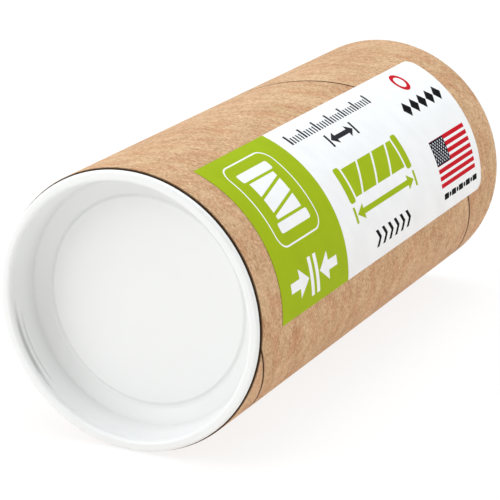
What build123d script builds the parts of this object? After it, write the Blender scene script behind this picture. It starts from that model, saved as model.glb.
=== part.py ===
from build123d import *

import os
from math import asin, degrees

# Paperboard tube, lengths in mm
tube_bore = 76.2
tube_wall = 2.03
tube_length = 177.8
cut_edge_break = 0.25

# Outermost and innermost ply, each one strip whose edges stop just short of each other along a helix
ply_pitch = 153.0
ply_gap = 0.5
ply_gap_depth = 0.3
outer_gap_turn = 171.0  # degrees round from +X at the lower cut end
inner_gap_turn = 40.0
ply_gap_lead_out = 6.0

# Moulded cap: flange that sits on the cut end of the tube
flange_setback = 0.43  # from the tube's outside in to the flange's edge
flange_thickness = 1.8
flange_outer_round = 0.8
flange_inner_round = 1.0

# Moulded cap: cup wall that plugs the tube
plug_depth = 11.8
plug_body_clearance = 0.3
plug_draft = 0.8
cup_lip_wall = 1.05
cup_foot_wall = 1.5
underside_round = 0.8

# Moulded cap: floor with its raised round panel, and the shallow gutter that climbs from it to the wall
floor_thickness = 1.5
floor_corner_round = 0.5
gutter_width = 5.2  # from the foot of the cup wall in to the panel
gutter_rise = 1.7
panel_rise = 0.4
panel_slope = 0.8  # how far in the panel's edge leans over its rise
panel_edge_round = 0.6

# Moulded cap: undercut below the lip, and the ribs that grip the bore
undercut_drop = 0.8
undercut_width = 1.6
undercut_depth = 0.35
undercut_deepest = 0.6  # below the undercut's upper edge
rib_clearance = 0.05
rib_first_drop = 2.6
rib_spacing = 2.8
rib_height = 1.2

# Paper label glued round part of the side
label_length = 150.0
label_width = 51.0
label_thickness = 0.1
label_glue = 0.05
label_top_gap = 12.3
label_corner_round = 3.5
label_facing = -90.0  # degrees round from +X to the label's middle line

# Sizes that follow
bore_radius = tube_bore / 2
tube_radius = bore_radius + tube_wall
tube_foot = flange_thickness
tube_top = tube_foot + tube_length
total_height = tube_top + flange_thickness
flange_radius = tube_radius - flange_setback
rib_radius = bore_radius - rib_clearance
plug_radius = bore_radius - plug_body_clearance
plug_foot_radius = plug_radius - plug_draft
cup_radius = plug_radius - cup_lip_wall
cup_foot_radius = plug_foot_radius - cup_foot_wall
panel_foot_radius = cup_foot_radius - gutter_width
panel_radius = panel_foot_radius - panel_slope
gutter_height = floor_thickness - plug_depth
undercut_height = flange_thickness - flange_inner_round - undercut_drop
rib_count = 1 + int((plug_depth - gutter_rise - rib_first_drop - rib_height) / rib_spacing)
label_back_radius = tube_radius + label_glue
label_radius = label_back_radius + label_thickness
label_arc = degrees(label_width / tube_radius)
label_top = tube_top - label_top_gap
label_foot = label_top - label_length

os.makedirs("parts", exist_ok=True)


# Spiral wound tube, with a helical gap between the edges of its outermost and its innermost ply
with BuildPart() as tube:
    with BuildSketch(Plane.XY.offset(tube_foot)):
        Circle(tube_radius)
        Circle(bore_radius, mode=Mode.SUBTRACT)
    extrude(amount=tube_length)
    chamfer(tube.edges().filter_by(GeomType.CIRCLE), length=cut_edge_break)
    for ply_radius, gap_turn in ((tube_radius, outer_gap_turn), (bore_radius, inner_gap_turn)):
        start_turn = gap_turn - 360 * ply_gap_lead_out / ply_pitch
        with BuildLine(Plane.XY.offset(tube_foot - ply_gap_lead_out)) as gap_line:
            Helix(pitch=ply_pitch, height=tube_length + 2 * ply_gap_lead_out, radius=ply_radius)
        gap_path = gap_line.line.rotate(Axis.Z, start_turn)
        gap_start = gap_path @ 0
        gap_outward = Vector(gap_start.X, gap_start.Y, 0)
        with BuildSketch(Plane(gap_start, x_dir=gap_outward, z_dir=gap_path % 0)):
            Rectangle(2 * ply_gap_depth, ply_gap)
        sweep(path=gap_path, is_frenet=True, mode=Mode.SUBTRACT)
tube.part.label = "tube"


# Recessed cap that plugs the upper end, revolved from its half section
# Each corner is its radius, its height above the tube's cut end and its rounding
cap_corners = [
    (0, -plug_depth, 0),
    (panel_foot_radius, -plug_depth, underside_round),
    (plug_foot_radius, gutter_rise - plug_depth, underside_round),
    (plug_radius, 0, 0),
    (flange_radius, 0, flange_outer_round),
    (flange_radius, flange_thickness, flange_outer_round),
    (cup_radius, flange_thickness, flange_inner_round),
    (cup_radius, undercut_height, 0),
    (cup_radius + undercut_depth, undercut_height - undercut_deepest, 0),
    (cup_radius, undercut_height - undercut_width, 0),
    (cup_foot_radius, gutter_height + gutter_rise, floor_corner_round),
    (panel_foot_radius, gutter_height, panel_edge_round),
    (panel_radius, gutter_height + panel_rise, panel_edge_round),
    (0, gutter_height + panel_rise, 0),
]
section_points = [(radius, height) for radius, height, _ in cap_corners]
section_rounds = [corner_round for _, _, corner_round in cap_corners]
section_plane = Plane(origin=(0, 0, tube_top), x_dir=(1, 0, 0), z_dir=(0, -1, 0))

with BuildPart() as top_cap:
    with BuildSketch(section_plane):
        with BuildLine():
            FilletPolyline(*section_points, radius=section_rounds, close=True)
        make_face()
        for rib in range(rib_count):
            rib_top = -rib_first_drop - rib * rib_spacing
            with BuildLine():
                Polyline(
                    (plug_foot_radius, rib_top),
                    (rib_radius, rib_top),
                    (plug_foot_radius, rib_top - rib_height),
                    close=True,
                )
            make_face()
    revolve(axis=Axis.Z)
top_cap.part.label = "top_cap"


# The same cap turned over to plug the lower end
with BuildPart() as bottom_cap:
    mirror(top_cap.part, about=Plane.XY.offset(total_height / 2))
bottom_cap.part.label = "bottom_cap"


# Curved paper label, square at its upper corners and rounded at its lower ones
with BuildPart() as label:
    with BuildSketch(Plane.XY.offset(label_foot)):
        with BuildLine():
            outer_arc = CenterArc((0, 0), label_radius, label_facing - label_arc / 2, label_arc)
            inner_arc = CenterArc((0, 0), label_back_radius, label_facing - label_arc / 2, label_arc)
            Line(outer_arc @ 0, inner_arc @ 0)
            Line(outer_arc @ 1, inner_arc @ 1)
        make_face()
    extrude(amount=label_length)
    corner_swing = label_arc / 2 - degrees(asin(label_corner_round / label_radius))
    for side in (-1, 1):
        corner_turn = label_facing + side * corner_swing
        outward = Vector(1, 0, 0).rotate(Axis.Z, corner_turn)
        corner_middle = outward * label_radius + Vector(0, 0, label_foot + label_corner_round)
        corner_cut = 2 * label_corner_round
        with BuildSketch(Plane(corner_middle, x_dir=outward.rotate(Axis.Z, 90), z_dir=outward)):
            with Locations((side * corner_cut / 2, -corner_cut / 2)):
                Rectangle(corner_cut, corner_cut)
            Circle(label_corner_round, mode=Mode.SUBTRACT)
        extrude(amount=label_corner_round, both=True, mode=Mode.SUBTRACT)
label.part.label = "label"


for piece in (tube, top_cap, bottom_cap, label):
    export_step(piece.part, f"parts/{piece.part.label}.step")
    print(piece.part.label, round(piece.part.volume, 1), piece.part.is_valid, len(piece.solids()))
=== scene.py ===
import math

import bpy
from mathutils import Matrix, Vector
from mathutils.geometry import delaunay_2d_cdt


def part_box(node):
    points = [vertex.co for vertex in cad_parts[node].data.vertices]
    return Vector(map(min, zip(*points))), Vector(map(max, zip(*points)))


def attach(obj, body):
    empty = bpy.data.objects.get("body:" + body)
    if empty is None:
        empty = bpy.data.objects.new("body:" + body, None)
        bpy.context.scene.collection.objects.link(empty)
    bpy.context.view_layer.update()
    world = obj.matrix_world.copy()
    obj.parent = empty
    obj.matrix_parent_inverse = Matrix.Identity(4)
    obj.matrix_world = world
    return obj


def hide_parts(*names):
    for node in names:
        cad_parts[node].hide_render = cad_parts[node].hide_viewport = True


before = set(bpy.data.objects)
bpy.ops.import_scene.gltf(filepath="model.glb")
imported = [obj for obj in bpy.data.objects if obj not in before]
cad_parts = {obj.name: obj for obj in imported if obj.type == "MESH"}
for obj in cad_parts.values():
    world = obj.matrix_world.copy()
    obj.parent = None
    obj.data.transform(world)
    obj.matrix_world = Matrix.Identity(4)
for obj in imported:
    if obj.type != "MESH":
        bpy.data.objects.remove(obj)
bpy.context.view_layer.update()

mm = 0.001

# Sizes read off the CAD nodes, in metres
tubeLow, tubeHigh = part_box("tube")
labelLow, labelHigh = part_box("label")
tubeRadius = tubeHigh.x
tubeFoot = tubeLow.z
tubeTop = tubeHigh.z
labelRadius = -labelLow.y
labelHalfTurn = math.asin(labelHigh.x / labelRadius)
labelLength = labelHigh.z - labelLow.z
labelWidth = 2 * labelHalfTurn * tubeRadius
tubeAcross, labelWide = round(2 * tubeRadius / mm, 2), round(labelWidth / mm, 1)
print("frame loaded: tube", tubeAcross, "mm across, label", labelWide, "mm wide")


# Colours are written as they look in daylight, 0 to 255, and turned linear here
def daylight(red, green, blue):
    linear = []
    for channel in (red, green, blue):
        share = channel / 255
        linear.append(share / 12.92 if share <= 0.04045 else ((share + 0.055) / 1.055) ** 2.4)
    return (*linear, 1.0)


# One socket of a node tree: arithmetic on it adds Math nodes, and add() makes any other node
class Wire:
    def __init__(self, tree, socket=None):
        self.tree = tree
        self.socket = socket

    def add(self, kind, settings=None, values=None, output=0):
        node = self.tree.nodes.new(kind)
        for name, setting in (settings or {}).items():
            if name == "stops":
                self.setStops(node.color_ramp, setting)
            else:
                setattr(node, name, setting)
        for name, value in (values or {}).items():
            self.feed(node.inputs[name], value)
        return Wire(self.tree, node.outputs[output]) if len(node.outputs) else None

    def feed(self, socket, value):
        if isinstance(value, (list, tuple)) and value and isinstance(value[0], Wire):
            for wire in value:
                self.tree.links.new(wire.socket, socket)
        elif isinstance(value, Wire):
            self.tree.links.new(value.socket, socket)
        else:
            socket.default_value = value

    def setStops(self, ramp, stops):
        while len(ramp.elements) < len(stops):
            ramp.elements.new(1.0)
        for element, (position, colour) in zip(ramp.elements, stops):
            element.position = position
            element.color = colour

    def other(self, output):  # another output of the same node
        return Wire(self.tree, self.socket.node.outputs[output])

    def maths(self, operation, *values):
        return self.add("ShaderNodeMath", {"operation": operation}, dict(enumerate(values)))

    def __add__(self, value):
        return self.maths("ADD", self, value)

    def __radd__(self, value):
        return self.maths("ADD", value, self)

    def __sub__(self, value):
        return self.maths("SUBTRACT", self, value)

    def __rsub__(self, value):
        return self.maths("SUBTRACT", value, self)

    def __mul__(self, value):
        return self.maths("MULTIPLY", self, value)

    def __rmul__(self, value):
        return self.maths("MULTIPLY", value, self)

    def __truediv__(self, value):
        return self.maths("DIVIDE", self, value)

    def __pow__(self, value):
        return self.maths("POWER", self, value)

    def __abs__(self):
        return self.maths("ABSOLUTE", self)

    def __gt__(self, value):
        return self.maths("GREATER_THAN", self, value)

    def mixed(self, value, factor):  # this colour with another over it
        return self.add("ShaderNodeMix", {"data_type": "RGBA"}, {0: factor, 6: self, 7: value}, output=2)

    def held(self, low, high):  # this number from low to high, stretched over 0 to 1 and held there
        values = {"Value": self, "From Min": low, "From Max": high}
        return self.add("ShaderNodeMapRange", {"clamp": True}, values)


def newMaterial(name):
    material = bpy.data.materials.new(name)
    material.use_nodes = True
    material.node_tree.nodes.clear()
    return material, Wire(material.node_tree)


def finishMaterial(nodes, surface):
    nodes.add("ShaderNodeOutputMaterial", None, {"Surface": surface})


def bump(nodes, height, distance=1.0, strength=1.0, over=None):
    values = {"Height": height, "Distance": distance, "Strength": strength}
    if over is not None:
        values["Normal"] = over
    return nodes.add("ShaderNodeBump", None, values)


# Where a point lies on the wound strip of paper: its place along and across the strip, in mm
winding = {
    "pitch": 153.0 * mm,  # this, the gap and the wall are as in the CAD
    "outerGapTurn": 171.0,  # degrees from +X at the lower cut end
    "gapDepth": 0.3 * mm,
    "plies": 5,
    "wall": 2.03 * mm,
}
roundLength = 2 * math.pi * tubeRadius
leadAngle = math.atan(winding["pitch"] / roundLength)


def windingPlace(nodes):
    place = nodes.add("ShaderNodeTexCoord", output="Object")
    x = nodes.add("ShaderNodeSeparateXYZ", None, {0: place})
    y, z = x.other(1), x.other(2)
    radius = (x * x + y * y) ** 0.5
    turn = nodes.maths("ARCTAN2", y, x) / (2 * math.pi)
    turnFromGap = turn - (z - tubeFoot) / winding["pitch"] - winding["outerGapTurn"] / 360
    roundPath = nodes.maths("FRACT", turnFromGap) * (roundLength / mm)
    along = (z - tubeFoot) / (mm * math.sin(leadAngle)) + roundPath * math.cos(leadAngle)
    across = roundPath * math.sin(leadAngle)
    stripWidth = roundLength / mm * math.sin(leadAngle)
    fromGap = nodes.maths("MINIMUM", across, stripWidth - across)
    return {"radius": radius, "z": z, "along": along, "across": across, "fromGap": fromGap}


# Noise stretched along the strip: size is that of its patches along and across the strip in mm,
# and swing turns it in degrees
def grain(nodes, spot, size, detail=2.0, swing=0.0, roughness=0.5, offset=0.0):
    alongLength, acrossLength = size
    swingCos, swingSin = math.cos(math.radians(swing)), math.sin(math.radians(swing))
    run = spot["along"] * swingCos + spot["across"] * swingSin
    side = spot["across"] * swingCos - spot["along"] * swingSin
    depth = spot["radius"] * (1 / mm / acrossLength) + offset
    vector = {0: run * (1 / alongLength), 1: side * (1 / acrossLength), 2: depth}
    vector = nodes.add("ShaderNodeCombineXYZ", None, vector)
    values = {"Vector": vector, "Scale": 1.0, "Detail": detail, "Roughness": roughness}
    return nodes.add("ShaderNodeTexNoise", None, values)


kraftLook = {
    "light": (231, 197, 161),
    "dark": (165, 116, 80),
    "yellowed": (214, 184, 142),
    "reddened": (196, 136, 96),
    "fleckLight": (242, 214, 176),
    "fleckDark": (116, 74, 44),
    # dark glue, also used as painted shade in and beside the outer ply's gap
    "gap": (72, 44, 26),
    # painted shadow of the caps' flanges, over a slight burnish of the cut edges
    "burnishAndShadow": (38, 23, 14),
    "grains": {
        "clouds": {"size": (26.0, 12.0)},
        "mottle": {"size": (5.5, 2.4), "detail": 3.0, "roughness": 0.6, "offset": 3.0},
        "speckle": {"size": (1.3, 1.0), "detail": 4.0, "roughness": 0.9, "offset": 7.0},
        "grit": {"size": (0.8, 0.7), "detail": 1.0, "offset": 9.0},
        "fibres": {"size": (2.6, 0.16), "offset": 11.0},
        "leftFibres": {"size": (2.0, 0.15), "swing": 38.0, "offset": 17.0},
        "rightFibres": {"size": (2.2, 0.15), "swing": -33.0, "offset": 23.0},
        "hue": {"size": (10.0, 5.0), "detail": 3.0, "roughness": 0.6, "offset": 27.0},
        "darkFlecks": {"size": (1.3, 0.7), "offset": 31.0},
        "lightFlecks": {"size": (1.1, 0.6), "swing": 20.0, "offset": 41.0},
        "wave": {"size": (9.0, 4.0), "offset": 53.0},
    },
    "shares": {"clouds": 0.45, "mottle": 0.65, "speckle": 0.8, "grit": 1.1},
    "hairShare": 0.15,
    "hairMiddle": 0.6,
    "shadeRange": (1.08, 1.98),  # the summed grains over which the board goes from dark to light
    "hueRange": (0.48, 0.70),
    "hueShare": 0.4,
    "darkFleckRange": (0.62, 0.74),
    "lightFleckRange": (0.60, 0.74),
    "fleckShare": 0.4,
    "gapWall": (0.06 * mm, 0.2 * mm),  # depth over which painted shade darkens the gap's sides
    "gapFloor": 1.2,  # how far down the gap's shade goes, in depths of the gap
    "gapEdgeShade": (0.25, 0.75),  # mm from the gap's middle over which its painted shade fades
    "gapEdgeShadeShare": 0.6,
    "endFaceRange": (0.6, 0.8),  # of the normal's part along the axis
    "cutLineShade": (0.05, 0.40),  # mm from the cut edge over which its dark line, mostly painted shadow of the cap's flange, fades
    "cutLineShadeShare": 0.5,
    "glueLine": (0.38, 0.47),  # from the middle of a ply towards its edge, in plies
    "glueShare": 0.55,
    "outerRingShadow": (-1.3 * mm, -0.9 * mm),  # from the tube's outside; painted shadow of the cap's flange on the cut end
    "outerRingShadowShare": 0.9,
    "roughness": 0.55,
    "roughnessSwing": 0.25,
    "specular": 0.02,
    "hairHeight": 0.6,
    "speckleHeight": 0.5,
    "fibreBump": 0.05 * mm,
    "fibreStrength": 0.8,
    "waveBump": 0.25 * mm,
    "waveStrength": 0.35,
}


def makeKraftBoard(look):
    material, nodes = newMaterial("kraftBoard")
    spot = windingPlace(nodes)
    grains = {name: grain(nodes, spot, **shape) for name, shape in look["grains"].items()}
    hair = nodes.maths("MAXIMUM", grains["leftFibres"], grains["rightFibres"])
    hair = nodes.maths("MAXIMUM", grains["fibres"], hair)
    shade = (hair - look["hairMiddle"]) * look["hairShare"]
    for name, share in look["shares"].items():
        shade = shade + grains[name] * share
    stops = [(0.0, daylight(*look["dark"])), (1.0, daylight(*look["light"]))]
    paper = nodes.add("ShaderNodeValToRGB", {"stops": stops}, {"Fac": shade.held(*look["shadeRange"])})
    tints = {
        "yellowed": grains["hue"].held(*look["hueRange"]) * look["hueShare"],
        "reddened": (1 - grains["hue"]).held(*look["hueRange"]) * look["hueShare"],
        "fleckDark": grains["darkFlecks"].held(*look["darkFleckRange"]) * look["fleckShare"],
        "fleckLight": grains["lightFlecks"].held(*look["lightFleckRange"]) * look["fleckShare"],
    }
    for tint, share in tints.items():
        paper = paper.mixed(daylight(*look[tint]), share)

    # Inside the gap between the edges of the outer ply the board is darkened by dark glue and by painted
    # shade, and painted shade runs along its edges
    depth = tubeRadius - spot["radius"]
    gapFloor = tubeRadius - look["gapFloor"] * winding["gapDepth"]
    inGap = depth.held(*look["gapWall"]) * (spot["radius"] > gapFloor)
    normal = nodes.add("ShaderNodeTexCoord", output="Normal")
    axial = nodes.add("ShaderNodeSeparateXYZ", None, {0: normal}, output=2)
    endFace = abs(axial).held(*look["endFaceRange"])
    # painted shade on the board along both edges of the gap
    gapEdgeShade = (1 - spot["fromGap"].held(*look["gapEdgeShade"])) * look["gapEdgeShadeShare"]
    gapShade = nodes.maths("MAXIMUM", inGap, gapEdgeShade) * (1 - endFace)
    paper = paper.mixed(daylight(*look["gap"]), gapShade)

    # A dark line along both cut edges: a slight burnish from the blade, darkened with painted shadow of
    # the caps' flanges
    fromCut = nodes.maths("MINIMUM", tubeTop - spot["z"], spot["z"] - tubeFoot) * (1 / mm)
    cutLineShade = (1 - fromCut.held(*look["cutLineShade"])) * look["cutLineShadeShare"]
    paper = paper.mixed(daylight(*look["burnishAndShadow"]), cutLineShade)

    # On the cut ends the plies show as rings with dark glue lines between them
    plyThickness = winding["wall"] / winding["plies"]
    plyPlace = nodes.maths("FRACT", depth / plyThickness)
    glueLine = abs(plyPlace - 0.5).held(*look["glueLine"]) * endFace
    paper = paper.mixed(daylight(*look["gap"]), glueLine * look["glueShare"])
    # Painted shadow of the cap's flange on the outer edge of the cut end
    outerRingShadow = (spot["radius"] - tubeRadius).held(*look["outerRingShadow"]) * endFace
    paper = paper.mixed(daylight(*look["burnishAndShadow"]), outerRingShadow * look["outerRingShadowShare"])

    speckle = grains["speckle"]
    wave = bump(nodes, grains["wave"], look["waveBump"], look["waveStrength"])
    fibreHeight = hair * look["hairHeight"] + speckle * look["speckleHeight"] - glueLine
    values = {
        "Base Color": paper,
        "Roughness": look["roughness"] + (speckle - 0.5) * look["roughnessSwing"],
        "Normal": bump(nodes, fibreHeight, look["fibreBump"], look["fibreStrength"], wave),
        "Specular IOR Level": look["specular"],
    }
    finishMaterial(nodes, nodes.add("ShaderNodeBsdfPrincipled", None, values))
    return material


capLook = {
    "colour": (237, 238, 238),
    # painted shade for the gutter and the wall's foot
    "gutterShadeColour": (212, 212, 210),
    # painted shade for the crease, and a painted highlight for the swelling below it
    "creaseShadeColour": (188, 188, 186),
    "swellHighlightColour": (255, 255, 255),
    "roughness": 0.36,
    "roughnessSwing": 0.16,
    "noiseDetail": 2.0,
    "flowScale": 90.0,
    "skinScale": 1400.0,
    "flowHeight": 2.0,
    "skinBump": 0.03 * mm,
    "skinStrength": 0.5,
    "creaseTurn": 82.0,  # degrees from +X to the middle of the crease under the top cap's lip
    "creaseSpread": 23.0,
    "creaseFull": 0.35,  # share of the spread over which the crease has its full depth
    "creaseDrop": 0.6,  # mm from the cut end of the tube down to the crease
    "creaseHalf": (0.1, 0.8),
    "creaseShadeShare": 0.9,
    "creaseBump": 0.5 * mm,
    "swellDrop": 1.4,  # mm from the crease down to the swelling below it
    "swellHalf": (0.1, 0.9),
    "swellHighlightShare": 0.8,
    "cupEdge": (-3.2 * mm, -2.6 * mm),  # from the tube's outside
    # Places on the floor, in mm from the axis, and how much each adds
    "gutterInside": (30.2, 31.4),
    "gutterOutside": (34.4, 36.0),
    "gutterShadeShare": 0.22,
    "wallFoot": 35.3,
    "wallFootHalf": (0.1, 0.9),
    "wallFootShadeShare": 0.26,
    "wallSlope": (31.2, 35.6),
    "wallRise": 0.45 * mm,
    "panelSlope": (30.0, 31.2),
    "panelRise": 0.20 * mm,
    "subsurface": 0.12,
    "subsurfaceRadius": (0.004, 0.004, 0.004),
    "subsurfaceScale": 0.5,
}


def makeCapPlastic(look):
    material, nodes = newMaterial("whitePlastic")
    place = nodes.add("ShaderNodeTexCoord", output="Object")
    noise = {"Vector": place, "Detail": look["noiseDetail"]}
    flow = nodes.add("ShaderNodeTexNoise", None, {**noise, "Scale": look["flowScale"]})
    skin = nodes.add("ShaderNodeTexNoise", None, {**noise, "Scale": look["skinScale"]})

    # A short crease where the lip was pressed in, only inside the top cap's cup: a bump, with painted
    # shade in the crease and a painted highlight on the swelling below it
    x = nodes.add("ShaderNodeSeparateXYZ", None, {0: place})
    y, z = x.other(1), x.other(2)
    turn = nodes.maths("ARCTAN2", y, x) * (180 / math.pi)
    fullSpread = look["creaseFull"] * look["creaseSpread"]
    alongLip = 1 - abs(turn - look["creaseTurn"]).held(fullSpread, look["creaseSpread"])
    radius = (x * x + y * y) ** 0.5
    inCup = 1 - (radius - tubeRadius).held(*look["cupEdge"])
    drop = (tubeTop - z) * (1 / mm) - look["creaseDrop"]
    core = (1 - abs(drop).held(*look["creaseHalf"])) * alongLip * inCup
    swell = (1 - abs(drop - look["swellDrop"]).held(*look["swellHalf"])) * alongLip * inCup
    # painted highlight on the swelling, then painted shade in the crease
    colours = {6: daylight(*look["colour"]), 7: daylight(*look["swellHighlightColour"])}
    tint = {0: swell * look["swellHighlightShare"], **colours}
    plastic = nodes.add("ShaderNodeMix", {"data_type": "RGBA"}, tint, output=2)
    plastic = plastic.mixed(daylight(*look["creaseShadeColour"]), core * look["creaseShadeShare"])

    # The floor sank as it cooled: deeper in the gutter's inner corner, higher at the wall and the panel.
    # Shade is painted into the gutter, most of all along the wall's foot
    out = radius * (1 / mm)
    gutter = out.held(*look["gutterInside"]) * (1 - out.held(*look["gutterOutside"]))
    wallFoot = 1 - abs(out - look["wallFoot"]).held(*look["wallFootHalf"])
    paintedGutterShade = gutter * look["gutterShadeShare"] + wallFoot * look["wallFootShadeShare"]
    plastic = plastic.mixed(daylight(*look["gutterShadeColour"]), paintedGutterShade)
    sink = out.held(*look["wallSlope"]) * look["wallRise"]
    sink = sink + (1 - out.held(*look["panelSlope"])) * look["panelRise"]

    grained = skin + flow * look["flowHeight"]
    relief = bump(nodes, grained, look["skinBump"], look["skinStrength"], bump(nodes, sink))
    relief = bump(nodes, swell - core, look["creaseBump"], over=relief)
    values = {
        "Base Color": plastic,
        "Roughness": look["roughness"] + (flow - 0.5) * look["roughnessSwing"],
        "Normal": relief,
        "Subsurface Weight": look["subsurface"],
        "Subsurface Radius": look["subsurfaceRadius"],
        "Subsurface Scale": look["subsurfaceScale"],
    }
    finishMaterial(nodes, nodes.add("ShaderNodeBsdfPrincipled", None, values))
    return material


inks = {
    "labelPaper": (244, 243, 245),
    "greenInk": (161, 182, 30),
    "greyInk": (44, 44, 49),
    "blackInk": (12, 12, 14),
    "redInk": (200, 22, 38),
    "navyInk": (20, 26, 44),
}
paperLook = {
    "tooth": {"size": (0.3, 0.3), "offset": 61.0},
    "cockle": {"size": (12.0, 6.0), "detail": 1.0, "offset": 67.0},
    "roughness": 0.42,
    "roughnessSwing": 0.2,
    "specular": 0.01,
    "worn": 0.93,  # share of its colour that the ink keeps where it is thin
    "wornRange": (0.3, 0.6),
    "toothBump": 0.012 * mm,
    "toothStrength": 0.7,
    "cockleHeight": 0.5,
    "gapDip": 0.10 * mm,  # how far the paper sinks over the gap in the board below it
    "gapReach": 0.9,  # mm either side of the gap's middle
    "dipStrength": 0.6,
}


def makePrintedPaper(name, colour, look):
    material, nodes = newMaterial(name)
    spot = windingPlace(nodes)
    tooth = grain(nodes, spot, **look["tooth"])
    cockle = grain(nodes, spot, **look["cockle"])
    overGap = 1 - spot["fromGap"].held(0.0, look["gapReach"])
    dip = cockle * look["cockleHeight"] - overGap * overGap
    dip = bump(nodes, dip, look["gapDip"], look["dipStrength"])
    base = daylight(*colour)
    worn = tuple(look["worn"] * channel for channel in base[:3]) + (1.0,)
    stops = list(zip(look["wornRange"], (worn, base)))
    tint = nodes.add("ShaderNodeValToRGB", {"stops": stops}, {"Fac": tooth * 0.5 + cockle * 0.5})
    values = {
        "Base Color": tint,
        "Roughness": look["roughness"] + (tooth - 0.5) * look["roughnessSwing"],
        "Normal": bump(nodes, tooth, look["toothBump"], look["toothStrength"], dip),
        "Specular IOR Level": look["specular"],
    }
    finishMaterial(nodes, nodes.add("ShaderNodeBsdfPrincipled", None, values))
    return material


kraftBoard = makeKraftBoard(kraftLook)
capPlastic = makeCapPlastic(capLook)
inkMaterials = {name: makePrintedPaper(name, colour, paperLook) for name, colour in inks.items()}
for nodeName, material in (("tube", kraftBoard), ("top_cap", capPlastic), ("bottom_cap", capPlastic)):
    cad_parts[nodeName].material_slots[0].material = material
print("materials made:", len(bpy.data.materials))


# Label artwork, laid out flat in mm: u runs from the top cap down the tube, v from the label's
# right-hand edge round the tube. Later shapes lie over earlier ones.
def bar(left, top, right, bottom, rounding=0.0, steps=6):
    if rounding == 0:
        return [(left, top), (right, top), (right, bottom), (left, bottom)]
    outline = []
    corners = [(right, top, -90), (right, bottom, 0), (left, bottom, 90), (left, top, 180)]
    for u, v, startTurn in corners:
        middleU = u - rounding if u == right else u + rounding
        middleV = v - rounding if v == bottom else v + rounding
        for step in range(steps + 1):
            turn = math.radians(startTurn + 90 * step / steps)
            outline.append((middleU + rounding * math.cos(turn), middleV + rounding * math.sin(turn)))
    return outline


def disc(u, v, radius, sides=40):
    turns = [2 * math.pi * side / sides for side in range(sides)]
    return [(u + radius * math.cos(turn), v + radius * math.sin(turn)) for turn in turns]


def star(u, v, radius, tips=5, waist=0.4):
    outline = []
    for corner in range(2 * tips):
        reach = waist * radius if corner % 2 else radius
        turn = math.radians(180 * corner / tips - 90)
        outline.append((u + reach * math.cos(turn), v + reach * math.sin(turn)))
    return outline


def arrowHead(tipU, v, length, height):  # length is negative where the arrow points to smaller u
    return [(tipU, v), (tipU - length, v - height / 2), (tipU - length, v + height / 2)]


def spanArrow(ink, arrow, overlap=0.1):  # arrow with two heads between end bars
    left, right, v = arrow["left"], arrow["right"], arrow["middle"]
    inset = arrow["endBar"] + arrow["gap"]
    backLeft, backRight = left + inset + arrow["head"], right - inset - arrow["head"]
    top, bottom = v - arrow["height"] / 2, v + arrow["height"] / 2
    shaftTop, shaftBottom = v - arrow["shaft"] / 2, v + arrow["shaft"] / 2
    return [
        (ink, bar(left, top, left + arrow["endBar"], bottom)),
        (ink, bar(right - arrow["endBar"], top, right, bottom)),
        (ink, arrowHead(left + inset, v, -arrow["head"], arrow["headHeight"])),
        (ink, arrowHead(right - inset, v, arrow["head"], arrow["headHeight"])),
        (ink, bar(backLeft - overlap, shaftTop, backRight + overlap, shaftBottom)),
    ]


labelPrint = {
    "block": {"topEnd": 41.9, "bottomEnd": 43.3},
    "frame": {"left": 6.7, "top": 3.9, "right": 33.4, "bottom": 32.0, "rounding": 4.6, "line": 0.5},
    "tubeMark": {
        "middle": 20.0, "top": 7.8, "bottom": 28.1,
        "cap": 3.1, "capWidth": 18.2, "capRound": 0.8,
        "bodyWidth": 14.8, "bodyGap": 0.9,
        "seamDrops": (1.6, 7.0), "seamLean": 3.2, "seamLine": 1.0,
    },
    "wallMark": {
        "left": 6.3, "right": 36.1, "middle": 42.7, "height": 11.0, "line": 1.9, "wall": 5.4,
        "tipGap": 0.8, "head": 5.8, "headHeight": 8.2, "shaft": 2.8, "overlap": 0.2,
    },
    "ticks": {
        "left": 48.0, "right": 103.5, "top": 3.8, "bottom": 7.8, "count": 31, "shortDrop": 1.5,
        "longEvery": 5, "halfWidth": 0.44, "longHalfWidth": 0.60,
    },
    "rollArrow": {
        "left": 64.2, "right": 82.8, "middle": 12.2, "height": 4.8, "endBar": 1.2, "gap": 0.4,
        "head": 3.6, "headHeight": 4.4, "shaft": 1.6,
    },
    "sizeMark": {
        "left": 53.4, "right": 99.4, "top": 20.0, "bottom": 31.4,
        "cap": 3.8, "capRound": 1.1, "capGap": 1.0, "bodyInset": 1.1,
        "seams": 3, "firstSeam": 9.0, "seamPitch": 10.6, "seamLean": 6.2, "seamLine": 1.2,
    },
    "sizeArrow": {
        "left": 53.4, "right": 99.4, "middle": 34.9, "height": 4.8, "endBar": 1.4, "gap": 0.5,
        "head": 4.6, "headHeight": 4.6, "shaft": 1.7,
    },
    "chevrons": {
        "left": 64.0, "top": 42.2, "bottom": 47.3, "count": 6, "pitch": 4.5, "width": 1.8, "point": 2.1,
    },
    "ring": {"u": 129.8, "v": 6.3, "outer": 3.9, "inner": 2.4},
    "diamonds": {"left": 115.1, "middle": 15.5, "count": 5, "pitch": 6.15, "width": 5.6, "height": 5.6},
    "flag": {
        "left": 116.5, "top": 28.1, "right": 145.4, "bottom": 43.0, "stripes": 13, "spread": 0.12,
        "canton": 11.0, "cantonStripes": 7, "rows": 9, "columns": 11, "star": 0.46,
    },
    "dashes": {
        "left": 118.0, "middle": 46.2, "count": 5, "dash": 3.7, "gap": 2.4, "height": 1.9,
        "rounding": 0.3, "dot": 0.8,
    },
}


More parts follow.
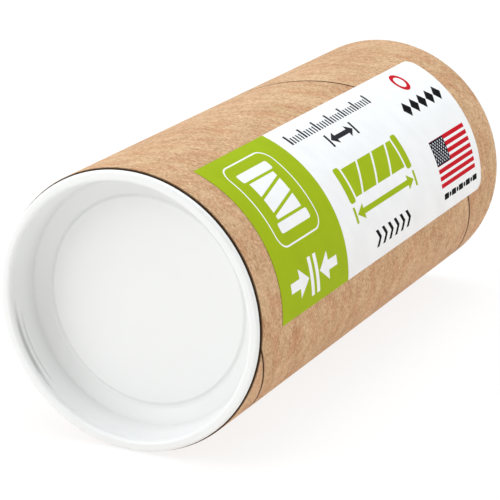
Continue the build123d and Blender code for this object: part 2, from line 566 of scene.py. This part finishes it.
def framedTubeMark(outline, mark):
    left, top, right, bottom = (outline[side] for side in ("left", "top", "right", "bottom"))
    line, rounding = outline["line"], outline["rounding"]
    halfCap, halfBody = mark["capWidth"] / 2, mark["bodyWidth"] / 2
    capLeft, capRight = mark["middle"] - halfCap, mark["middle"] + halfCap
    upperCap, lowerCap = mark["top"] + mark["cap"], mark["bottom"] - mark["cap"]
    bodyLeft, bodyRight = mark["middle"] - halfBody, mark["middle"] + halfBody
    bodyTop, bodyBottom = upperCap + mark["bodyGap"], lowerCap - mark["bodyGap"]
    shapes = [
        ("labelPaper", bar(left, top, right, bottom, rounding)),
        ("greenInk", bar(left + line, top + line, right - line, bottom - line, rounding - line)),
        ("labelPaper", bar(capLeft, mark["top"], capRight, upperCap, mark["capRound"])),
        ("labelPaper", bar(capLeft, lowerCap, capRight, mark["bottom"], mark["capRound"])),
        ("labelPaper", bar(bodyLeft, bodyTop, bodyRight, bodyBottom)),
    ]
    for drop in mark["seamDrops"]:
        high, low = bodyTop + drop, bodyTop + drop + mark["seamLean"]
        seam = [
            (bodyLeft, low), (bodyRight, high),
            (bodyRight, high + mark["seamLine"]), (bodyLeft, low + mark["seamLine"]),
        ]
        shapes.append(("greenInk", seam))
    return shapes


def wallMark(mark):
    middle = (mark["left"] + mark["right"]) / 2
    top, bottom = mark["middle"] - mark["height"] / 2, mark["middle"] + mark["height"] / 2
    shaftTop, shaftBottom = mark["middle"] - mark["shaft"] / 2, mark["middle"] + mark["shaft"] / 2
    shapes = []
    for side, end in ((-1, mark["left"]), (1, mark["right"])):
        wallEdge = middle + side * mark["wall"] / 2
        wallBack = wallEdge - side * mark["line"]
        shapes.append(("labelPaper", bar(min(wallEdge, wallBack), top, max(wallEdge, wallBack), bottom)))
        tip = wallEdge + side * mark["tipGap"]
        head = arrowHead(tip, mark["middle"], -side * mark["head"], mark["headHeight"])
        shapes.append(("labelPaper", head))
        shaft = sorted((tip + side * (mark["head"] - mark["overlap"]), end))
        shapes.append(("labelPaper", bar(shaft[0], shaftTop, shaft[1], shaftBottom)))
    return shapes


def tickScale(ticks):
    shapes = []
    step = (ticks["right"] - ticks["left"]) / (ticks["count"] - 1)
    for tick in range(ticks["count"]):
        isLong = tick % ticks["longEvery"] == 0
        halfWidth = ticks["longHalfWidth"] if isLong else ticks["halfWidth"]
        top = ticks["top"] if isLong else ticks["top"] + ticks["shortDrop"]
        u = ticks["left"] + tick * step
        shapes.append(("greyInk", bar(u - halfWidth, top, u + halfWidth, ticks["bottom"])))
    return shapes


def tubeSizeMark(mark):
    left, right, top, bottom = (mark[side] for side in ("left", "right", "top", "bottom"))
    bodyTop, bodyBottom = top + mark["bodyInset"], bottom - mark["bodyInset"]
    toBody = mark["cap"] + mark["capGap"]
    shapes = [
        ("greenInk", bar(left, top, left + mark["cap"], bottom, mark["capRound"])),
        ("greenInk", bar(right - mark["cap"], top, right, bottom, mark["capRound"])),
        ("greenInk", bar(left + toBody, bodyTop, right - toBody, bodyBottom)),
    ]
    for seam in range(mark["seams"]):
        foot = left + mark["firstSeam"] + mark["seamPitch"] * seam
        head = foot + mark["seamLean"]
        outline = [
            (foot, bodyBottom), (head, bodyTop),
            (head + mark["seamLine"], bodyTop), (foot + mark["seamLine"], bodyBottom),
        ]
        shapes.append(("labelPaper", outline))
    return shapes


def chevronRow(row):
    shapes = []
    middle = (row["top"] + row["bottom"]) / 2
    for chevron in range(row["count"]):
        u = row["left"] + chevron * row["pitch"]
        back, notch = u + row["width"], u + row["point"]
        outline = [
            (u, row["top"]), (back, row["top"]), (back + row["point"], middle),
            (back, row["bottom"]), (u, row["bottom"]), (notch, middle),
        ]
        shapes.append(("blackInk", outline))
    return shapes


def diamondRow(row):
    shapes = []
    halfWidth, halfHeight = row["width"] / 2, row["height"] / 2
    for diamond in range(row["count"]):
        u = row["left"] + halfWidth + diamond * row["pitch"]
        outline = [
            (u - halfWidth, row["middle"]), (u, row["middle"] - halfHeight),
            (u + halfWidth, row["middle"]), (u, row["middle"] + halfHeight),
        ]
        shapes.append(("blackInk", outline))
    return shapes


def stripedFlag(flag):
    stripe = (flag["bottom"] - flag["top"]) / flag["stripes"]
    cantonRight = flag["left"] + flag["canton"]
    cantonBottom = flag["top"] + flag["cantonStripes"] * stripe
    shapes = []
    for red in range(0, flag["stripes"], 2):
        top = flag["top"] + red * stripe
        redBar = bar(flag["left"], top - flag["spread"], flag["right"], top + stripe + flag["spread"])
        shapes.append(("redInk", redBar))
    shapes.append(("navyInk", bar(flag["left"], flag["top"], cantonRight, cantonBottom)))
    for row in range(flag["rows"]):
        v = flag["top"] + (row + 1) * (cantonBottom - flag["top"]) / (flag["rows"] + 1)
        for column in range(row % 2, flag["columns"], 2):
            u = flag["left"] + (column + 1) * flag["canton"] / (flag["columns"] + 1)
            shapes.append(("labelPaper", star(u, v, flag["star"])))
    return shapes


def dashRow(row):
    shapes = []
    top, bottom = row["middle"] - row["height"] / 2, row["middle"] + row["height"] / 2
    for dash in range(row["count"]):
        left = row["left"] + dash * (row["dash"] + row["gap"])
        right = left + row["dash"]
        shapes.append(("blackInk", bar(left, top, right, bottom, row["rounding"], steps=3)))
        if dash < row["count"] - 1:
            dot = disc(right + row["gap"] / 2, row["middle"], row["dot"], sides=16)
            shapes.append(("blackInk", dot))
    return shapes


def labelArtwork(art):
    block, ring = art["block"], art["ring"]
    width = labelWidth / mm
    shapes = [("greenInk", [(0, 0), (block["topEnd"], 0), (block["bottomEnd"], width), (0, width)])]
    shapes += framedTubeMark(art["frame"], art["tubeMark"])
    shapes += wallMark(art["wallMark"])
    shapes += tickScale(art["ticks"])
    shapes += spanArrow("greyInk", art["rollArrow"])
    shapes += tubeSizeMark(art["sizeMark"])
    shapes += spanArrow("greenInk", art["sizeArrow"])
    shapes += chevronRow(art["chevrons"])
    shapes.append(("redInk", disc(ring["u"], ring["v"], ring["outer"])))
    shapes.append(("labelPaper", disc(ring["u"], ring["v"], ring["inner"])))
    shapes += diamondRow(art["diamonds"])
    shapes += stripedFlag(art["flag"])
    shapes += dashRow(art["dashes"])
    return shapes


labelSheet = {
    "cornerRound": 3.5,  # mm, of the corners away from the top cap
    "cornerSteps": 8,
    "bendStep": 1.2,  # mm round the tube between the sheet's bends
    "bendOverhang": 2.0,  # mm by which a bend line runs past the sheet's ends
    "cutTolerance": 1e-5,  # mm
    "thickness": 0.1 * mm,
    "weld": 1e-7,  # metres within which points of the front and the back become one
    "sharpTurn": 35.0,  # degrees between faces past which their edge is sharp
}


def sheetOutline(sheet):
    length, width = labelLength / mm, labelWidth / mm
    rounded = bar(0, 0, length, width, sheet["cornerRound"], steps=sheet["cornerSteps"])
    # The corners beside the top cap are square
    kept = [(u, v) for u, v in rounded if u > sheet["cornerRound"]]
    return [(0, 0)] + kept + [(0, width)]


# The sheet cut into faces along every outline of the print and every bend, each face with its ink
def flatSheet(sheet, art):
    shapes = [("labelPaper", sheetOutline(sheet))] + labelArtwork(art)
    points, outlines = [], []
    for _, outline in shapes:
        area = sum(a[0] * b[1] - b[0] * a[1] for a, b in zip(outline, outline[1:] + outline[:1]))
        ordered = outline if area > 0 else outline[::-1]
        outlines.append(list(range(len(points), len(points) + len(ordered))))
        points += [Vector(point) for point in ordered]
    bends = []
    bendCount = round(labelWidth / mm / sheet["bendStep"])
    overhang = sheet["bendOverhang"]
    for bend in range(1, bendCount):
        v = bend * labelWidth / mm / bendCount
        bends.append((len(points), len(points) + 1))
        points += [Vector((-overhang, v)), Vector((labelLength / mm + overhang, v))]
    cut = delaunay_2d_cdt(points, bends, outlines, 0, sheet["cutTolerance"])
    corners, _, faces, _, _, sources = cut
    shown = [(face, max(source)) for face, source in zip(faces, sources) if 0 in source]

    mesh = bpy.data.meshes.new("flatSheet")
    mesh.from_pydata([(u * mm, v * mm, 0) for u, v in corners], [], [face for face, _ in shown])
    inkNames = list(inks)
    inkOfFace = mesh.attributes.new("ink", "INT", "FACE")
    inkOfFace.data.foreach_set("value", [inkNames.index(shapes[top][0]) for _, top in shown])
    uv = mesh.uv_layers.new(name="sheet")
    for loop in mesh.loops:
        u, v = mesh.vertices[loop.vertex_index].co.xy
        uv.data[loop.index].uv = (u / labelLength, v / labelLength)
    flat = bpy.data.objects.new("flatSheet", mesh)
    bpy.context.scene.collection.objects.link(flat)
    return flat


def newGeometryTree(name, sizes):
    tree = bpy.data.node_groups.new(name, "GeometryNodeTree")
    tree.interface.new_socket("Geometry", in_out="INPUT", socket_type="NodeSocketGeometry")
    for label, value in sizes.items():
        kind = "NodeSocketInt" if isinstance(value, int) else "NodeSocketFloat"
        tree.interface.new_socket(label, in_out="INPUT", socket_type=kind).default_value = value
    tree.interface.new_socket("Geometry", in_out="OUTPUT", socket_type="NodeSocketGeometry")
    return tree, Wire(tree).add("NodeGroupInput")


# Runs a tree on a piece with its sizes, and leaves the result as a plain mesh under a new name
def bakedPiece(source, tree, sizes, name):
    modifier = source.modifiers.new("build", "NODES")
    modifier.node_group = tree
    sockets = [item for item in tree.interface.items_tree if item.in_out == "INPUT"]
    identifiers = {item.name: item.identifier for item in sockets}
    for label, value in sizes.items():
        modifier[identifiers[label]] = value
    evaluated = source.evaluated_get(bpy.context.evaluated_depsgraph_get())
    mesh = bpy.data.meshes.new_from_object(evaluated)
    mesh.name = name
    piece = bpy.data.objects.new(name, mesh)
    bpy.context.scene.collection.objects.link(piece)
    source.modifiers.remove(modifier)
    bpy.data.objects.remove(source)
    return piece


# Gives the flat printed sheet its thickness and bends it round the tube
wrapSizes = {
    "Back Radius": labelRadius - labelSheet["thickness"],
    "Thickness": labelSheet["thickness"],
    "Edge Turn": -math.pi / 2 + labelHalfTurn,
    "Roll Radius": tubeRadius,
    "Top": labelHigh.z,
}


def wrapTree(sizes, sheet):
    tree, inputs = newGeometryTree("wrapRoundTube", sizes)
    flat = inputs.other("Geometry")
    lift = inputs.add("ShaderNodeCombineXYZ", None, {2: inputs.other("Thickness")})
    lifted = {"Mesh": flat, "Offset": lift, "Individual": False}
    front = inputs.add("GeometryNodeExtrudeMesh", {"mode": "FACES"}, lifted)
    back = inputs.add("GeometryNodeFlipFaces", None, {"Mesh": flat})
    onFaces = {"data_type": "INT", "domain": "FACE"}
    unprinted = {"Geometry": back, "Name": "ink", "Value": 0}
    back = inputs.add("GeometryNodeStoreNamedAttribute", onFaces, unprinted)
    body = inputs.add("GeometryNodeJoinGeometry", None, {0: [front, back]})
    body = inputs.add("GeometryNodeMergeByDistance", None, {"Geometry": body, "Distance": sheet["weld"]})

    flatX = inputs.add("ShaderNodeSeparateXYZ", None, {0: inputs.add("GeometryNodeInputPosition")})
    flatY, flatZ = flatX.other(1), flatX.other(2)
    turn = inputs.other("Edge Turn") - flatY / inputs.other("Roll Radius")
    radius = inputs.other("Back Radius") + flatZ
    bentX, bentY = radius * inputs.maths("COSINE", turn), radius * inputs.maths("SINE", turn)
    bent = inputs.add("ShaderNodeCombineXYZ", None, {0: bentX, 1: bentY, 2: inputs.other("Top") - flatX})
    body = inputs.add("GeometryNodeSetPosition", None, {"Geometry": body, "Position": bent})

    body = inputs.add("GeometryNodeSetShadeSmooth", None, {"Geometry": body, "Shade Smooth": True})
    sharp = inputs.add("GeometryNodeInputMeshEdgeAngle") > math.radians(sheet["sharpTurn"])
    creased = {"Geometry": body, "Selection": sharp, "Shade Smooth": False}
    body = inputs.add("GeometryNodeSetShadeSmooth", {"domain": "EDGE"}, creased)
    body = inputs.add("GeometryNodeRealizeInstances", None, {"Geometry": body})
    ink = inputs.add("GeometryNodeInputNamedAttribute", {"data_type": "INT"}, {"Name": "ink"})
    equal = {"data_type": "INT", "operation": "EQUAL"}
    for number, name in enumerate(inks):
        isInk = inputs.add("FunctionNodeCompare", equal, {2: ink, 3: number})
        inked = {"Geometry": body, "Selection": isInk, "Material": inkMaterials[name]}
        body = inputs.add("GeometryNodeSetMaterial", None, inked)
    inputs.add("NodeGroupOutput", None, {"Geometry": body})
    return tree


wrapping = wrapTree(wrapSizes, labelSheet)
printedLabel = bakedPiece(flatSheet(labelSheet, labelPrint), wrapping, wrapSizes, "printedLabel")
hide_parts("label")
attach(printedLabel, "tube")
print("label printed and wrapped:", len(printedLabel.data.polygons), "faces")


# Stage: the tube lies on its side on a white floor, seen from above its capped end
stageLook = {
    "floorTurn": 146.1,  # degrees round from +X to the side of the tube that touches the floor
    "floorGap": 0.05 * mm,
    "floorReach": 3.0,
    "floorColour": (208, 208, 208),
    "shadowDepth": 0.18,
    "floorGlow": 0.84,
    "bounceGlow": 0.39,
    "bounceColour": (255, 246, 235),
    "ambient": 0.58,
}
cameraLook = {
    "place": (8.519, -336.480, 661.787),
    "target": (-3.010, -0.103, 109.231),
    "roll": -121.690,
    "lens": 156.55,
    "sensor": 36.0,
    "nearest": 0.01,
}
lampLook = {
    # Each place is up from the tube's middle, to the right and towards the capped end, in metres
    "skyPanel": {"place": (0.97, -0.20, 0.05), "size": 0.9, "power": 3.9, "colour": (240, 252, 255)},
    "frontPanel": {"place": (0.54, -0.62, 0.65), "size": 0.6, "power": 4.0, "colour": (255, 255, 255)},
    "sidePanel": {"place": (0.45, 0.88, -0.05), "size": 0.6, "power": 1.1, "colour": (255, 249, 238)},
    "backPanel": {"place": (0.85, 0.15, -0.45), "size": 0.6, "power": 2.6, "colour": (230, 249, 255)},
}

floorTurn = math.radians(stageLook["floorTurn"])
floorDown = Vector((math.cos(floorTurn), math.sin(floorTurn), 0))
alongTube = Vector((0, 0, 1))
toRight = alongTube.cross(floorDown)
tubeMiddle = Vector((0, 0, (tubeFoot + tubeTop) / 2))


def makeFloor(look):
    reach = look["floorReach"]
    origin = floorDown * (tubeRadius + look["floorGap"]) + tubeMiddle
    ends = ((-1, -1), (1, -1), (1, 1), (-1, 1))
    corners = [origin + toRight * side * reach + alongTube * end * reach for side, end in ends]
    mesh = bpy.data.meshes.new("floor")
    mesh.from_pydata(corners, [], [(0, 1, 2, 3)])
    if mesh.polygons[0].normal.dot(floorDown) > 0:
        mesh.flip_normals()
    floor = bpy.data.objects.new("floor", mesh)
    bpy.context.scene.collection.objects.link(floor)

    # Camera and gloss rays see a floor that glows white with a soft shadow, and other rays bounce off a
    # second paint. From below the floor is clear
    material, nodes = newMaterial("whiteFloor")
    rays = nodes.add("ShaderNodeLightPath", output="Is Camera Ray")
    seen = nodes.maths("MAXIMUM", rays, rays.other("Is Glossy Ray"))
    behind = nodes.add("ShaderNodeNewGeometry", output="Backfacing")
    paint = nodes.add("ShaderNodeBsdfDiffuse", None, {"Color": daylight(*look["floorColour"])})
    bounce = {"Color": daylight(*look["bounceColour"]), "Strength": look["bounceGlow"]}
    glow = nodes.add("ShaderNodeEmission", None, bounce)
    paint = nodes.add("ShaderNodeAddShader", None, {0: paint, 1: glow})
    shadowed = [look["shadowDepth"]] * 3 + [1.0]
    seenPaint = nodes.add("ShaderNodeBsdfDiffuse", None, {"Color": shadowed})
    seenGlow = nodes.add("ShaderNodeEmission", None, {"Strength": look["floorGlow"]})
    seenPaint = nodes.add("ShaderNodeAddShader", None, {0: seenPaint, 1: seenGlow})
    lit = nodes.add("ShaderNodeMixShader", None, {0: seen, 1: paint, 2: seenPaint})
    clear = nodes.add("ShaderNodeBsdfTransparent")
    finishMaterial(nodes, nodes.add("ShaderNodeMixShader", None, {0: behind, 1: lit, 2: clear}))
    mesh.materials.append(material)


def makeWorld(look):
    world = bpy.data.worlds.new("studio")
    bpy.context.scene.world = world
    world.use_nodes = True
    world.node_tree.nodes.clear()
    nodes = Wire(world.node_tree)
    rays = nodes.add("ShaderNodeLightPath", output="Is Camera Ray")
    mirrored = nodes.maths("MAXIMUM", rays.other("Is Glossy Ray"), rays.other("Is Transmission Ray"))
    white = nodes.maths("MAXIMUM", rays, mirrored)
    strength = look["ambient"] + white * (1 - look["ambient"])
    background = nodes.add("ShaderNodeBackground", None, {"Color": (1, 1, 1, 1), "Strength": strength})
    nodes.add("ShaderNodeOutputWorld", None, {"Surface": background})


def makeLamp(name, look):
    up, right, end = look["place"]
    lamp = bpy.data.lights.new(name, "AREA")
    lamp.size = look["size"]
    lamp.energy = look["power"]
    lamp.color = daylight(*look["colour"])[:3]
    holder = bpy.data.objects.new(name, lamp)
    holder.location = tubeMiddle - floorDown * up + toRight * right + alongTube * end
    holder.rotation_euler = (tubeMiddle - holder.location).to_track_quat("-Z", "Y").to_euler()
    bpy.context.scene.collection.objects.link(holder)


def makeCamera(look):
    camera = bpy.data.objects.new("camera", bpy.data.cameras.new("camera"))
    camera.data.lens = look["lens"]
    camera.data.sensor_width = look["sensor"]
    camera.data.clip_start = look["nearest"]
    camera.location = Vector(look["place"]) * mm
    gaze = Vector(look["target"]) * mm - camera.location
    roll = Matrix.Rotation(math.radians(look["roll"]), 3, "Z")
    camera.rotation_euler = (gaze.to_track_quat("-Z", "Y").to_matrix() @ roll).to_euler()
    bpy.context.scene.collection.objects.link(camera)
    bpy.context.scene.camera = camera


makeFloor(stageLook)
makeWorld(stageLook)
for lampName, look in lampLook.items():
    makeLamp(lampName, look)
makeCamera(cameraLook)
bpy.context.scene.view_settings.view_transform = "Standard"
print("stage set")
